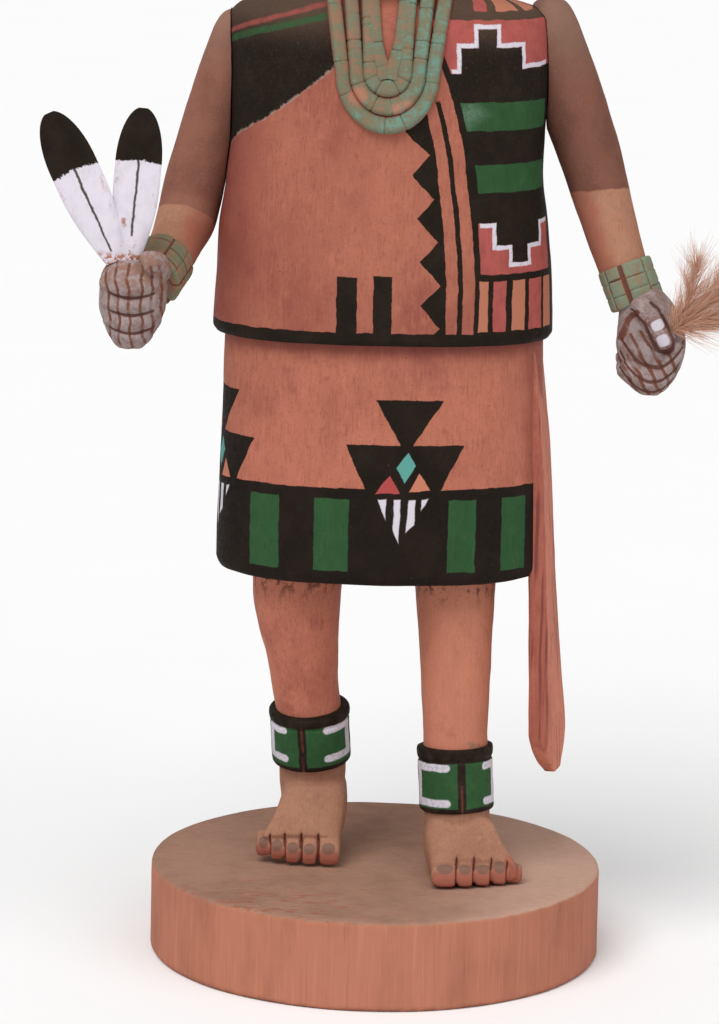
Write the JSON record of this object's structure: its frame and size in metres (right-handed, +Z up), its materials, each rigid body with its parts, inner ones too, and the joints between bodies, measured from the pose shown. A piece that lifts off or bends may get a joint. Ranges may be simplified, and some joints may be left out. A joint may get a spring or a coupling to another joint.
{
  "type": "carved wooden dancer doll",
  "caption": "Painted cottonwood figure of a masked dancer in tunic, kilt and sash, holding feathers and down, standing on a round wooden base.",
  "frame": {"origin": "centre of the round base's underside", "axes": "+Z up through the figure's crown, -Y towards the way the figure faces, +X towards the figure's left"},
  "size_m": [0.1749, 0.11, 0.2883],
  "materials": {
    "base_wood": "bare cut cottonwood, matt",
    "painted_figure": "matt earth paints on cottonwood",
    "painted_arm": "matt brown paint on cottonwood",
    "sash_wood": "bare stained wood, matt",
    "painted_feather": "matt white paint with black tips",
    "down": "soft brown down"
  },
  "bodies": {
    "root": {"base": "base_wood", "figure": "painted_figure", "right_arm": "painted_arm", "left_arm": "painted_arm", "sash": "sash_wood", "feathers": "painted_feather", "down_tuft": "down"}
  },
  "joints": []
}
